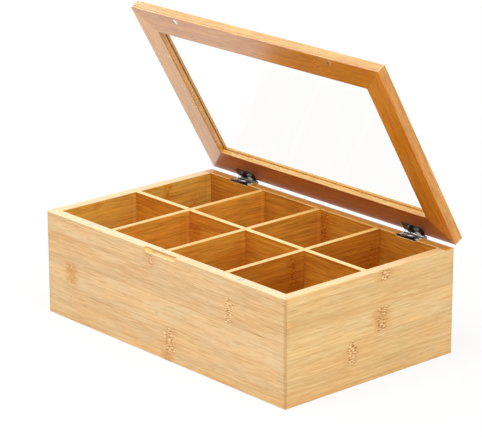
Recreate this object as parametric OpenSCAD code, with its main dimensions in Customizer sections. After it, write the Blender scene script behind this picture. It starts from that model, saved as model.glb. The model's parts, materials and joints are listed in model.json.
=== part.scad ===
// Tea bag organizer box: a bamboo box with eight compartments under a hinged lid
// that has a clear window.
//
// The box stands on its base. The origin is the middle of the underside of the
// closed body, +X runs to the right along the front, +Y to the back, +Z up.
// The lid is drawn standing open by lid_open degrees, on its two butt hinges.

/* [Box] */
// Length of the box, left to right
box_length = 320; // [260:1:400]
// Depth of the box, front to back
box_depth = 198; // [150:1:260]
// Height of the box without its lid
box_height = 97; // [60:1:130]
// Thickness of the four walls
wall = 10; // [9:0.5:14]
// Radius of the eased long edges of walls and lid rails
edge_ease = 0.8; // [0.3:0.1:1.5]
// Radius of the eased upright corners
corner_ease = 1.5; // [0.5:0.1:3]

/* [Bottom panel] */
// Thickness of the bottom panel
bottom_thickness = 5; // [3:0.5:8]
// How far the bottom panel reaches into the rebate under the walls
rebate_width = 5; // [3:0.5:6]

/* [Dividers] */
// Thickness of the dividers
divider = 5; // [3:0.5:8]
// Radius of the eased edges of the dividers
divider_ease = 0.4; // [0.2:0.1:1]
// Depth of the grooves in the walls that hold the dividers' ends
housing_depth = 2; // [1:0.5:4]

/* [Finger scoop] */
// Length of the scoop along the top edge of the front wall
scoop_length = 43; // [20:1:70]
// Depth of the scoop into the front wall
scoop_depth = 2.5; // [1:0.25:4]
// Radius of the round-nosed cutter that makes the scoop
scoop_cutter = 5; // [4:0.5:8]

/* [Magnets] */
// Diameter of the catch magnets
magnet_diameter = 6; // [3:0.5:7]
// Thickness of the catch magnets
magnet_thickness = 2; // [1:0.25:4]
// From the end of the box to the middle of a magnet
magnet_inset = 60; // [20:1:100]
// How far each magnet lies below the wood
magnet_sunk = 0.1; // [0:0.05:0.5]

/* [Lid] */
// Thickness of the lid frame
lid_thickness = 9.5; // [8.5:0.5:14]
// Width of the lid rails
rail_width = 25; // [18:1:40]
// Gap between the closed lid and the rim
lid_gap = 0.3; // [0.2:0.1:1]
// How far the lid is drawn open, in degrees
lid_open = 60; // [0:1:120]

/* [Window] */
// Thickness of the clear pane
pane_thickness = 2; // [1.5:0.25:3]
// How far the pane reaches into the rails
pane_bite = 4; // [2:0.5:8]
// Thickness of wood above the pane
pane_lip = 2.5; // [1.5:0.25:3.5]

/* [Hinges] */
// From the end of the box to the middle of a hinge
hinge_inset = 49.5; // [30:0.5:70]
// Length of a hinge along the rear edge
hinge_length = 25; // [20:0.5:40]
// From the hinge axis to the free edge of a leaf
leaf_reach = 11; // [9:0.25:11]
// Thickness of the leaves
leaf_thickness = 1; // [0.8:0.1:1.2]
// Gap between the two leaves when the lid is closed
leaf_gap = 0.3; // [0.2:0.05:0.6]
// Radius of a leaf's free corners
leaf_corner = 0.8; // [0.3:0.1:2]
// Outer radius of the knuckles
barrel_radius = 2; // [1.8:0.1:2.6]
// Radius of the hinge pin
pin_radius = 1; // [0.7:0.05:1.1]
// Radius of the pin's two flat heads
pin_head_radius = 1.5; // [1.3:0.1:1.8]
// Thickness of the pin's heads
pin_head_thickness = 0.4; // [0.2:0.1:1]

/* [Screws] */
// Distance between the two screws of a leaf
screw_spacing = 14; // [10:0.5:15]
// Length of a screw, head included
screw_length = 7; // [5:0.5:7.5]
// Radius of the screw's shank
screw_radius = 1.1; // [0.8:0.05:1.3]
// Radius of the countersunk head
screw_head_radius = 2; // [1.6:0.05:2.2]
// Length of the screw's point
screw_point = 2; // [1:0.25:3]
// Width of the cross recess in the head
recess_width = 0.5; // [0.3:0.05:0.8]
// Span of the cross recess in the head
recess_span = 2.4; // [1.6:0.1:2.8]
// Depth of the cross recess in the head
recess_depth = 0.7; // [0.3:0.05:1]

/* [Fits] */
// Clearance around glued, housed and screwed pieces
fit_clearance = 0.1; // [0.05:0.05:0.2]
// Radial clearance of the pin in the knuckles
pin_clearance = 0.05; // [0.02:0.01:0.1]
// Clearance between the knuckles of the two leaves
knuckle_clearance = 0.15; // [0.1:0.05:0.3]
// Clearance between the barrel and the rear face of the box
barrel_clearance = 0.25; // [0.2:0.05:0.6]
// Room at each end of a hinge in its mortise
mortise_slack = 0.5; // [0.2:0.1:2]

/* [Hidden] */
$fn = 64;

LEFT = -1;
RIGHT = 1;
// Extra length that a cut runs past the surface it opens
through = 1;

// Three dividers across the box and one along it make the eight compartments
cross_dividers = 3;
inner_length = box_length - 2 * wall;
inner_depth = box_depth - 2 * wall;
cell_length = (inner_length - cross_dividers * divider) / (cross_dividers + 1);
divider_height = box_height - bottom_thickness;
cross_divider_places = [
    for (i = [0:cross_dividers - 1]) (i - (cross_dividers - 1) / 2) * (cell_length + divider)
];
long_divider_places = [0];

// The hinge axis lies behind the rear face, between the two closed leaves. The lid's
// leaf lies on the lid's underside and both leaves fold into the mortise in the rim.
hinge_y = box_depth / 2 + barrel_radius + barrel_clearance;
lid_underside = box_height + lid_gap;
hinge_z = lid_underside - leaf_thickness - leaf_gap / 2;
mortise_floor = hinge_z - leaf_gap / 2 - leaf_thickness;
hinge_x = box_length / 2 - hinge_inset;
screw_line = (barrel_radius + leaf_reach) / 2;
knuckles = 3;
knuckle_pitch = hinge_length / knuckles;

magnet_x = box_length / 2 - magnet_inset;
pane_underside = lid_thickness - pane_lip - fit_clearance - pane_thickness;

// The scoop is cut by a round-nosed cutter whose centre travels level with the rim
scoop_centre = scoop_cutter - scoop_depth;
scoop_chord = sqrt(pow(scoop_cutter, 2) - pow(scoop_centre, 2));
scoop_travel = scoop_length - 2 * scoop_chord;

wall_colour = "#E2BD8E";
inside_colour = "#C98A45";
lid_colour = "#D6A163";
nickel_colour = "#6E6E72";
magnet_colour = "#A9A9AC";
window_colour = [0.86, 0.95, 0.97, 0.3];

// ---------------------------------------------------------------- shared shapes

// Puts a piece drawn along the front, outer face on y = 0, on the side at this angle
module on_side(angle, distance) {
    rotate(angle) translate([0, -distance, 0]) children();
}

// Rectangle with its lower left corner at the origin and four rounded corners
module eased_square(size, ease) {
    translate([ease, 0]) square([size[0] - 2 * ease, size[1]]);
    translate([0, ease]) square([size[0], size[1] - 2 * ease]);
    for (x = [ease, size[0] - ease], y = [ease, size[1] - ease])
        translate([x, y]) circle(r = ease);
}

// Bar along X whose section in Y and Z is an eased rectangle
module eased_bar(length, width, height, ease) {
    rotate([90, 0, 90]) translate([0, 0, -length / 2])
        linear_extrude(height = length) eased_square([width, height], ease);
}

// Board along X with 45 degree mitres, its outer face on y = 0, its inner face on y = width
module mitred_board(length, width, height) {
    half = length / 2;
    intersection() {
        eased_bar(length, width, height, edge_ease);
        linear_extrude(height = height)
            polygon([[-half, 0], [half, 0], [half - width, width], [width - half, width]]);
        linear_extrude(height = height)
            translate([-half, 0]) eased_square([length, 4 * width], corner_ease);
    }
}

// Disc magnet with softened edges, standing on z = 0
module disc_magnet() {
    bevel = magnet_thickness / 10;
    radius = magnet_diameter / 2;
    color(magnet_colour) rotate_extrude()
        polygon([[0, 0], [radius - bevel, 0], [radius, bevel],
                 [radius, magnet_thickness - bevel],
                 [radius - bevel, magnet_thickness], [0, magnet_thickness]]);
}

// The two places of the catch magnets, on the middle line of the front wall
module at_magnet(side) {
    on_side(0, box_depth / 2) translate([side * magnet_x, wall / 2, 0]) children();
}

// ---------------------------------------------------------------- the box

// One of the four walls, with its rebate for the bottom and its divider housings
module box_wall(length, divider_places) {
    housing = divider + 2 * fit_clearance;
    difference() {
        mitred_board(length, wall, box_height);
        translate([-length / 2, wall - rebate_width, -through])
            cube([length, rebate_width + through, bottom_thickness + through]);
        for (x = divider_places)
            translate([x - housing / 2, wall - housing_depth, bottom_thickness - through])
                cube([housing, housing_depth + through, divider_height + 2 * through]);
    }
}

// The space that the round-nosed cutter sweeps on its way along the front wall
module finger_scoop() {
    translate([0, -scoop_centre, box_height]) rotate([0, 90, 0]) rotate_extrude()
        intersection() {
            union() {
                translate([0, -scoop_travel / 2]) square([scoop_cutter, scoop_travel]);
                for (end = [LEFT, RIGHT])
                    translate([0, end * scoop_travel / 2]) circle(r = scoop_cutter);
            }
            translate([0, -scoop_length]) square([scoop_cutter, 2 * scoop_length]);
        }
}

module front_wall() {
    color(wall_colour) difference() {
        on_side(0, box_depth / 2) difference() {
            box_wall(box_length, cross_divider_places);
            finger_scoop();
        }
        for (side = [LEFT, RIGHT])
            at_magnet(side) translate([0, 0, box_height - magnet_thickness - magnet_sunk])
                cylinder(h = magnet_thickness + magnet_sunk + through,
                         r = magnet_diameter / 2 + fit_clearance);
    }
}

module rear_wall() {
    mortise_length = hinge_length + 2 * mortise_slack;
    color(wall_colour) difference() {
        on_side(180, box_depth / 2) box_wall(box_length, cross_divider_places);
        for (side = [LEFT, RIGHT]) {
            translate([side * hinge_x - mortise_length / 2, box_depth / 2 - wall - through,
                       mortise_floor])
                cube([mortise_length, wall + 2 * through, box_height]);
            at_hinge(side) screw_holes();
        }
    }
}

module side_wall(side) {
    color(wall_colour)
        on_side(side * 90, box_length / 2) box_wall(box_depth, long_divider_places);
}

module bottom_panel() {
    overlap = 2 * (rebate_width - fit_clearance);
    color(inside_colour)
        translate([-(inner_length + overlap) / 2, -(inner_depth + overlap) / 2, 0])
            cube([inner_length + overlap, inner_depth + overlap, bottom_thickness]);
}

// Divider along X whose ends sit in the wall housings, standing on the bottom panel
module divider_board(inner) {
    translate([0, -divider / 2, bottom_thickness])
        eased_bar(inner + 2 * (housing_depth - fit_clearance), divider, divider_height,
                  divider_ease);
}

// The half-lap slots where the dividers cross, over the upper or the lower half
module lap_slots(places, base) {
    slot = divider + 2 * fit_clearance;
    for (x = places)
        translate([x - slot / 2, -divider, base])
            cube([slot, 2 * divider, divider_height / 2 + through + fit_clearance / 2]);
}

module long_divider() {
    color(inside_colour) difference() {
        divider_board(inner_length);
        lap_slots(cross_divider_places,
                  bottom_thickness + divider_height / 2 - fit_clearance / 2);
    }
}

module cross_divider(x) {
    color(inside_colour) translate([x, 0, 0]) rotate(90) difference() {
        divider_board(inner_depth);
        lap_slots(long_divider_places, bottom_thickness - through);
    }
}

module rim_magnet(side) {
    at_magnet(side) translate([0, 0, box_height - magnet_sunk - magnet_thickness])
        disc_magnet();
}

// ---------------------------------------------------------------- the lid

// Swings closed-lid pieces open about the hinge axis
module swung_open() {
    translate([0, hinge_y, hinge_z]) rotate([-lid_open, 0, 0])
        translate([0, -hinge_y, -hinge_z]) children();
}

// One mitred rail of the lid frame with the groove that holds the pane
module lid_rail(length) {
    groove_depth = pane_bite + fit_clearance;
    translate([0, 0, lid_underside]) difference() {
        mitred_board(length, rail_width, lid_thickness);
        translate([-length / 2, rail_width - groove_depth, pane_underside - fit_clearance])
            cube([length, groove_depth + through, pane_thickness + 2 * fit_clearance]);
    }
}

module lid_front_rail() {
    color(lid_colour) swung_open() difference() {
        on_side(0, box_depth / 2) lid_rail(box_length);
        for (side = [LEFT, RIGHT])
            at_magnet(side) translate([0, 0, lid_underside - through])
                cylinder(h = magnet_thickness + magnet_sunk + through,
                         r = magnet_diameter / 2 + fit_clearance);
    }
}

module lid_rear_rail() {
    color(lid_colour) swung_open() difference() {
        on_side(180, box_depth / 2) lid_rail(box_length);
        for (side = [LEFT, RIGHT])
            at_hinge(side) mirror([0, 0, 1]) screw_holes();
    }
}

module lid_side_rail(side) {
    color(lid_colour) swung_open()
        on_side(side * 90, box_length / 2) lid_rail(box_depth);
}

module lid_window() {
    pane_length = box_length - 2 * (rail_width - pane_bite);
    pane_depth = box_depth - 2 * (rail_width - pane_bite);
    color(window_colour) swung_open()
        translate([-pane_length / 2, -pane_depth / 2, lid_underside + pane_underside])
            cube([pane_length, pane_depth, pane_thickness]);
}

module lid_magnet(side) {
    swung_open() at_magnet(side) translate([0, 0, lid_underside + magnet_sunk])
        disc_magnet();
}

// ---------------------------------------------------------------- the hinges

// Origin on the hinge axis at the middle of a hinge
module at_hinge(side) {
    translate([side * hinge_x, hinge_y, hinge_z]) children();
}

// Both screw places of the lower leaf, on its upper face
module at_screws() {
    for (side = [LEFT, RIGHT])
        translate([side * screw_spacing / 2, -screw_line, -leaf_gap / 2]) children();
}

function knuckle_x(index) = (index - (knuckles - 1) / 2) * knuckle_pitch;

// Flat part of a leaf from above, up to the knuckles, with two rounded free corners
module leaf_outline() {
    translate([-hinge_length / 2, -leaf_reach]) intersection() {
        eased_square([hinge_length, 2 * leaf_reach], leaf_corner);
        square([hinge_length, leaf_reach - barrel_radius - knuckle_clearance]);
    }
}

// Section of a knuckle across the hinge: a ring around the pin and the neck that joins it
// to the leaf, in Y and Z
module knuckle_section() {
    difference() {
        union() {
            circle(r = barrel_radius);
            translate([-leaf_reach / 2, -leaf_gap / 2 - leaf_thickness])
                square([leaf_reach / 2, leaf_thickness]);
        }
        circle(r = pin_radius + pin_clearance);
    }
}

// The lower leaf, closed. first is 0 for the outer knuckles and 1 for the middle one.
module hinge_leaf(first) {
    knuckle_length = knuckle_pitch - first * 2 * knuckle_clearance;
    color(nickel_colour) difference() {
        union() {
            translate([0, 0, -leaf_gap / 2 - leaf_thickness])
                linear_extrude(height = leaf_thickness) leaf_outline();
            for (k = [first:2:knuckles - 1])
                translate([knuckle_x(k) - knuckle_length / 2, 0, 0]) rotate([90, 0, 90])
                    linear_extrude(height = knuckle_length) knuckle_section();
        }
        screw_holes();
    }
}

module hinge_pin(side) {
    span = hinge_length + 2 * pin_head_thickness;
    color(nickel_colour) at_hinge(side) rotate([0, 90, 0]) {
        cylinder(h = span, r = pin_radius, center = true);
        for (end = [LEFT, RIGHT])
            translate([0, 0, end * (hinge_length + pin_head_thickness) / 2])
                cylinder(h = pin_head_thickness, r = pin_head_radius, center = true);
    }
}

// Countersunk screw with a cross recess, pointing down, its head's top on z = 0
module wood_screw() {
    head_height = screw_head_radius - screw_radius;
    difference() {
        rotate_extrude()
            polygon([[0, 0], [screw_head_radius, 0], [screw_radius, -head_height],
                     [screw_radius, screw_point - screw_length], [0, -screw_length]]);
        for (angle = [0, 90])
            rotate(angle) translate([-recess_span / 2, -recess_width / 2, -recess_depth])
                cube([recess_span, recess_width, recess_depth + through]);
    }
}

// Countersunk hole through the leaf and pilot hole in the wood for both screws
module screw_holes() {
    hole = screw_radius + fit_clearance;
    mouth = screw_head_radius + fit_clearance;
    floor = -screw_length - fit_clearance;
    at_screws() rotate_extrude()
        polygon([[0, through], [mouth, through], [mouth, 0], [hole, hole - mouth],
                 [hole, floor], [0, floor]]);
}

module leaf_screws() {
    color(nickel_colour) at_screws() wood_screw();
}

// ---------------------------------------------------------------- nodes

front_wall();
rear_wall();
side_wall(LEFT);  // left_wall
side_wall(RIGHT);  // right_wall
bottom_panel();
long_divider();
cross_divider(cross_divider_places[0]);  // left_cross_divider
cross_divider(cross_divider_places[1]);  // middle_cross_divider
cross_divider(cross_divider_places[2]);  // right_cross_divider
rim_magnet(LEFT);  // left_rim_magnet
rim_magnet(RIGHT);  // right_rim_magnet
lid_front_rail();
lid_rear_rail();
lid_side_rail(LEFT);  // lid_left_rail
lid_side_rail(RIGHT);  // lid_right_rail
lid_window();
lid_magnet(LEFT);  // left_lid_magnet
lid_magnet(RIGHT);  // right_lid_magnet
at_hinge(LEFT) hinge_leaf(0);  // left_hinge_body_leaf
swung_open() at_hinge(LEFT) mirror([0, 0, 1]) hinge_leaf(1);  // left_hinge_lid_leaf
hinge_pin(LEFT);  // left_hinge_pin
at_hinge(LEFT) leaf_screws();  // left_hinge_body_screws
swung_open() at_hinge(LEFT) mirror([0, 0, 1]) leaf_screws();  // left_hinge_lid_screws
at_hinge(RIGHT) hinge_leaf(0);  // right_hinge_body_leaf
swung_open() at_hinge(RIGHT) mirror([0, 0, 1]) hinge_leaf(1);  // right_hinge_lid_leaf
hinge_pin(RIGHT);  // right_hinge_pin
at_hinge(RIGHT) leaf_screws();  // right_hinge_body_screws
swung_open() at_hinge(RIGHT) mirror([0, 0, 1]) leaf_screws();  // right_hinge_lid_screws
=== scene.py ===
"""Bamboo tea bag organizer box with a hinged lid and a clear window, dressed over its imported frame.

The boards and rails are the frame's own nodes with their finishes, and the hinge leaves also get eased
edges. The pane, screws, pins and magnets are new surfaces worked out with numpy.
Sizes are in millimetres where a name ends in _mm or a docstring says so, and in metres elsewhere.
"""
import functools
import json
import logging
import math
import operator
from dataclasses import dataclass
from enum import Enum

import bpy
import numpy as np
from mathutils import Matrix, Vector


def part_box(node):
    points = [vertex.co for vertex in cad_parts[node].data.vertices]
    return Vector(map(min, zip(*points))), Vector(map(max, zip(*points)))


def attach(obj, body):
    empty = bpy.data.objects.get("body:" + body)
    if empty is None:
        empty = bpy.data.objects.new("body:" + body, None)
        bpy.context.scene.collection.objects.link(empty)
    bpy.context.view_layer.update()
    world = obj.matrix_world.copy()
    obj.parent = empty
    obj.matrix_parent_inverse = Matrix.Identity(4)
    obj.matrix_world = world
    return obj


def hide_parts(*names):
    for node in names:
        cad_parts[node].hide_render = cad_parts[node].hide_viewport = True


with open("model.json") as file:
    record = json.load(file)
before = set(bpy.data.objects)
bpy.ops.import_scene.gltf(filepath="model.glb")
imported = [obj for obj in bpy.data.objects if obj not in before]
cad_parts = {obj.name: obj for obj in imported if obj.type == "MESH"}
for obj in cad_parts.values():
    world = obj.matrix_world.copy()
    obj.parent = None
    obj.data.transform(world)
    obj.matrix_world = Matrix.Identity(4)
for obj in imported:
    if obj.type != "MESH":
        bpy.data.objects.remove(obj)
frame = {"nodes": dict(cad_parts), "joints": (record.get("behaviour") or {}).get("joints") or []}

log = logging.getLogger("tea_box")

Colour = tuple[float, float, float]
Triple = tuple[float, float, float]
MM = 0.001


class Side(Enum):
    """Left or right half of the box, as the sign of X."""

    LEFT = -1
    RIGHT = 1

    @property
    def word(self) -> str:
        """The side's name as the frame's nodes write it."""
        return self.name.lower()


class Grain(Enum):
    """Which way a board's fibres run: its directions along and across at the closed lid."""

    LENGTHWISE_UPRIGHT = ((1, 0, 0), (0, 0, 1))
    CROSSWISE_UPRIGHT = ((0, 1, 0), (0, 0, 1))
    LENGTHWISE_FLAT = ((1, 0, 0), (0, 1, 0))
    CROSSWISE_FLAT = ((0, 1, 0), (1, 0, 0))

    @property
    def rows(self) -> Matrix:
        """Matrix that turns the object's directions into along, across and through."""
        along, across = (Vector(v) for v in self.value)
        return Matrix((along, across, along.cross(across)))


def tint(red: int, green: int, blue: int) -> Colour:
    """Turns a colour of 0 to 255 into the linear numbers that a shader takes.

    Args:
        red, green, blue: The colour as a paint chart writes it.

    Returns:
        The linear red, green and blue, by the sRGB curve.
    """
    levels = (red / 255, green / 255, blue / 255)
    return tuple(v / 12.92 if v <= 0.04045 else ((v + 0.055) / 1.055) ** 2.4 for v in levels)


# ------------------------------------------------------------------ sizes


@dataclass(frozen=True)
class BoxSizes:
    """The body's sizes in millimetres, read from the frame."""

    length_mm: float
    depth_mm: float
    height_mm: float
    wall_mm: float

    @classmethod
    def from_frame(cls) -> "BoxSizes":
        """Reads the sizes from the boxes of the four walls.

        Returns:
            The sizes.
        """
        left_low, left_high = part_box("left_wall")
        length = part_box("right_wall")[1].x - left_low.x
        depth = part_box("rear_wall")[1].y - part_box("front_wall")[0].y
        return cls(length / MM, depth / MM, left_high.z / MM, (left_high.x - left_low.x) / MM)

    @property
    def inner_half_length_mm(self) -> float:
        """From the middle to the inner face of a side wall."""
        return self.length_mm / 2 - self.wall_mm

    @property
    def inner_half_depth_mm(self) -> float:
        """From the middle to the inner face of the front or rear wall."""
        return self.depth_mm / 2 - self.wall_mm


@dataclass(frozen=True)
class LidPose:
    """The lid's hinge axis, how far the lid stands open at rest, and its section."""

    axis: Vector
    open_degrees: float
    underside_mm: float = 97.3
    thickness_mm: float = 9.5
    rail_mm: float = 25.0
    groove_mm: float = 5.9

    @classmethod
    def from_frame(cls) -> "LidPose":
        """Reads the axis and the closed limit from the frame's joint."""
        joint = frame["joints"][0]
        return cls(Vector((0, *joint["pos_m"][1:])), -joint["range_deg"][0])

    @property
    def opening(self) -> Matrix:
        """Turn about X from closed to rest."""
        return Matrix.Rotation(-math.radians(self.open_degrees), 3, "X")

    def swing(self, points: np.ndarray) -> np.ndarray:
        """Moves points of the closed lid to the rest pose: the opening turn about the hinge axis.

        Args:
            points: Array of points, one per row, of the closed lid.

        Returns:
            The same points at rest.
        """
        turn, axis = np.array(self.opening), np.array(self.axis)
        return (points - axis) @ turn.T + axis

    def closed_box(self, node: str) -> tuple[Vector, Vector]:
        """Box of a lid node with the lid swung back to closed: the opening turn undone about the axis.

        Args:
            node: The node's name.

        Returns:
            The lowest and the highest corner.
        """
        mesh = frame["nodes"][node].data
        points = np.empty(len(mesh.vertices) * 3)
        mesh.vertices.foreach_get("co", points)
        axis = np.array(self.axis)
        closed = (points.reshape(-1, 3) - axis) @ np.array(self.opening) + axis
        return Vector(closed.min(0)), Vector(closed.max(0))


def middle(node: str) -> Vector:
    """Middle of a node's box at rest."""
    low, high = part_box(node)
    return (low + high) / 2


# ------------------------------------------------------------------ surfaces


def solid_from(name: str, vertices: np.ndarray, faces: list[list[int]],
               sharp_degrees: float) -> bpy.types.Object:
    """Makes a mesh object from vertices and faces, turned outwards and smooth up to an angle.

    The signed volume, a sixth of the sum over triangles of a . (b x c), tells whether the faces
    point inwards, and then each one is reversed.

    Args:
        name: The piece's name.
        vertices: One point per row, in metres, at rest.
        faces: Vertex numbers of each face.
        sharp_degrees: Edges that turn more than this stay sharp.

    Returns:
        The new object, at the origin.
    """
    fans = np.array([(f[0], b, c) for f in faces for b, c in zip(f[1:], f[2:])])
    a, b, c = (vertices[fans[:, k]] for k in range(3))
    if np.einsum("ij,ij->i", a, np.cross(b, c)).sum() < 0:
        faces = [f[::-1] for f in faces]
    mesh = bpy.data.meshes.new(name)
    mesh.from_pydata(vertices.tolist(), [], faces)
    mesh.set_sharp_from_angle(angle=math.radians(sharp_degrees))
    mesh.polygons.foreach_set("use_smooth", np.array([len(face) <= 4 for face in faces]))
    mesh.update()
    piece = bpy.data.objects.new(name, mesh)
    bpy.context.scene.collection.objects.link(piece)
    return piece


def capped(rings: np.ndarray) -> tuple[np.ndarray, list[list[int]]]:
    """Closed surface over a grid of rings: quads between the rings and one face at either end.

    Vertex (i, j) joins (i, j + 1), (i + 1, j + 1) and (i + 1, j), with j taken round the ring.

    Args:
        rings: Grid of points, rings by steps by 3.

    Returns:
        The points one per row, and the faces as lists of vertex numbers.
    """
    count, steps = rings.shape[:2]
    number = np.arange(count * steps).reshape(count, steps)
    beside = np.roll(number, -1, axis=1)
    quads = np.stack([number[:-1], beside[:-1], beside[1:], number[1:]], -1)
    ends = [number[0, ::-1].tolist(), number[-1].tolist()]
    return rings.reshape(-1, 3), quads.reshape(-1, 4).tolist() + ends


def turned(profile: np.ndarray, steps: int) -> np.ndarray:
    """Turns a profile of (radius, height) about Z: x = r cos t, y = r sin t, z = height.

    Args:
        profile: Rows of radius and height, whose first and last radius may be small but not zero.
        steps: Steps round the turn.

    Returns:
        Grid of points, one ring per row of the profile.
    """
    angle = np.linspace(0, 2 * np.pi, steps, endpoint=False)
    radius, height = profile[:, :1], profile[:, 1:]
    return np.stack([radius * np.cos(angle), radius * np.sin(angle), height + 0 * angle], -1)


def quarter(centre: tuple[float, float], radius: float, start: float, end: float,
            steps: int = 6) -> np.ndarray:
    """Arc of a profile: centre plus radius times (cos t, sin t), with t in degrees from start to end."""
    angle = np.radians(np.linspace(start, end, steps))
    return np.stack([centre[0] + radius * np.cos(angle), centre[1] + radius * np.sin(angle)], -1)


def dress(piece: bpy.types.Object, material: bpy.types.Material) -> None:
    """Gives a piece one material in place of what it has, and reports the piece.

    Args:
        piece: A new piece or a frame node's object.
        material: Its finish.
    """
    piece.data.materials.clear()
    piece.data.materials.append(material)
    log.info("dressed %s", piece.name)


def settle(piece: bpy.types.Object, material: bpy.types.Material, body: str, node: str) -> None:
    """Dresses a new piece, hangs it on its body's empty and hides the frame's node that it stands for.

    Args:
        piece: The piece.
        material: Its finish.
        body: The body that it rides on.
        node: The frame's node that it stands for.
    """
    dress(piece, material)
    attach(piece, body)
    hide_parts(node)


def soften(node: bpy.types.Object, bevel_mm: float) -> None:
    """Eases a frame node's sharp edges and smooths its shading without touching its mesh.

    The loose triangles are welded in a modifier, sharp edges get a narrow bevel, and normals weighted
    by face area keep flats flat and roundings round.

    Args:
        node: The frame's object.
        bevel_mm: Width of the bevel on its sharp edges.
    """
    weld = node.modifiers.new("weld", "WELD")
    weld.merge_threshold = 0.002 * MM
    bevel = node.modifiers.new("edge", "BEVEL")
    bevel.width, bevel.segments = bevel_mm * MM, 2
    bevel.limit_method, bevel.angle_limit = "ANGLE", math.radians(40)
    smooth = node.modifiers.new("smooth", "WEIGHTED_NORMAL")
    smooth.mode, smooth.weight = "FACE_AREA", 100
    node.data.polygons.foreach_set("use_smooth", np.ones(len(node.data.polygons), bool))


# ------------------------------------------------------------------ shader wiring


class Signal:
    """What a node puts out, with operators that add Math nodes to its tree."""

    def __init__(self, wire: "Wiring", socket: bpy.types.NodeSocket) -> None:
        """Keeps the socket and the wiring that its Math nodes go through."""
        self.wire, self.socket = wire, socket

    def __add__(self, other: "Signal | float") -> "Signal":
        """Sum."""
        return self.wire.calc("ADD", self, other)

    def __sub__(self, other: "Signal | float") -> "Signal":
        """Difference."""
        return self.wire.calc("SUBTRACT", self, other)

    def __rsub__(self, other: float) -> "Signal":
        """A number less the signal."""
        return self.wire.calc("SUBTRACT", other, self)

    def __mul__(self, other: "Signal | float") -> "Signal":
        """Product."""
        return self.wire.calc("MULTIPLY", self, other)

    def __truediv__(self, other: "Signal | float") -> "Signal":
        """Quotient."""
        return self.wire.calc("DIVIDE", self, other)

    def __or__(self, other: "Signal | float") -> "Signal":
        """The larger of two."""
        return self.wire.calc("MAXIMUM", self, other)

    def __and__(self, other: "Signal | float") -> "Signal":
        """The smaller of two."""
        return self.wire.calc("MINIMUM", self, other)

    def __abs__(self) -> "Signal":
        """Distance from zero."""
        return self.wire.calc("ABSOLUTE", self)

    def ramp(self, start: float, end: float, low: float = 0.0, high: float = 1.0) -> "Signal":
        """Smooth step from low at start to high at end."""
        inputs = {"Value": self, "From Min": start, "From Max": end, "To Min": low, "To Max": high}
        return self.wire.take("ShaderNodeMapRange", inputs, interpolation_type="SMOOTHSTEP")


class Wiring:
    """Adds and joins nodes in one node tree, which is a material's, a group's or the world's."""

    def __init__(self, tree: bpy.types.NodeTree) -> None:
        """Keeps the tree that the nodes go into."""
        self.tree = tree

    def feed(self, socket: bpy.types.NodeSocket, value: object) -> None:
        """Links an input socket to a signal, or sets it to a plain value.

        Args:
            socket: The input to feed.
            value: A signal, a number, a vector or a colour of three numbers.
        """
        if isinstance(value, Signal):
            self.tree.links.new(value.socket, socket)
        elif socket.type == "RGBA" and len(value) == 3:
            socket.default_value = (*value, 1.0)
        else:
            socket.default_value = value

    def node(self, kind: str, inputs: dict | None = None, **settings: object) -> bpy.types.Node:
        """Adds a node.

        Args:
            kind: The node's type name.
            inputs: What feeds its inputs, by name or number.
            settings: Properties of the node.

        Returns:
            The node.
        """
        made = self.tree.nodes.new(kind)
        for key, value in settings.items():
            setattr(made, key, value)
        for key, value in (inputs or {}).items():
            self.feed(made.inputs[key], value)
        return made

    def take(self, kind: str, inputs: dict | None = None, output: int | str = 0,
             **settings: object) -> Signal:
        """Adds a node and gives one of its outputs, the first unless another is named."""
        return Signal(self, self.node(kind, inputs, **settings).outputs[output])

    def signals(self, node: bpy.types.Node) -> dict[str, Signal]:
        """All of a node's outputs by name."""
        return {socket.name: Signal(self, socket) for socket in node.outputs}

    def calc(self, operation: str, *values: object, clamp: bool = False) -> Signal:
        """A Math node's output for one to three values."""
        return self.take("ShaderNodeMath", dict(enumerate(values)), operation=operation, use_clamp=clamp)

    def mix(self, share: object, first: object, second: object, blend: str = "MIX") -> Signal:
        """Mixes two colours by a share of the second."""
        return self.take("ShaderNodeMix", {0: share, 6: first, 7: second}, 2, data_type="RGBA",
                         blend_type=blend)

    def shade(self, colour: Signal, mask: Signal, factor: object) -> Signal:
        """Multiplies a colour by another where a mask is 1."""
        return self.mix(mask, colour, self.mix(1.0, colour, factor, "MULTIPLY"))

    def scaled(self, vector: Signal, *scale: float) -> Signal:
        """A vector with each component multiplied."""
        return self.take("ShaderNodeVectorMath", {0: vector, 1: scale}, operation="MULTIPLY")

    def length(self, vector: Signal) -> Signal:
        """Length of a vector."""
        return self.take("ShaderNodeVectorMath", {0: vector}, "Value", operation="LENGTH")

    def noise(self, vector: Signal, detail: float = 2.0, roughness: float = 0.5,
              scale: float = 1.0) -> Signal:
        """Noise of 0 to 1 about 0.5, at the vector's own scale."""
        inputs = {"Vector": vector, "Scale": scale, "Detail": detail, "Roughness": roughness}
        return self.take("ShaderNodeTexNoise", inputs, noise_dimensions="3D")

    def join(self, x: object, y: object, z: object) -> Signal:
        """A vector from three values."""
        return self.take("ShaderNodeCombineXYZ", {0: x, 1: y, 2: z})

    def split(self, vector: Signal) -> tuple[Signal, ...]:
        """The three values of a vector."""
        return tuple(self.signals(self.node("ShaderNodeSeparateXYZ", {0: vector})).values())

    def place(self, name: str, **inputs: object) -> dict[str, Signal]:
        """Places a node group and feeds its inputs, whose names write a blank as an underline."""
        named = {key.replace("_", " "): value for key, value in inputs.items()}
        return self.signals(self.node("ShaderNodeGroup", named, node_tree=bpy.data.node_groups[name]))


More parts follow.
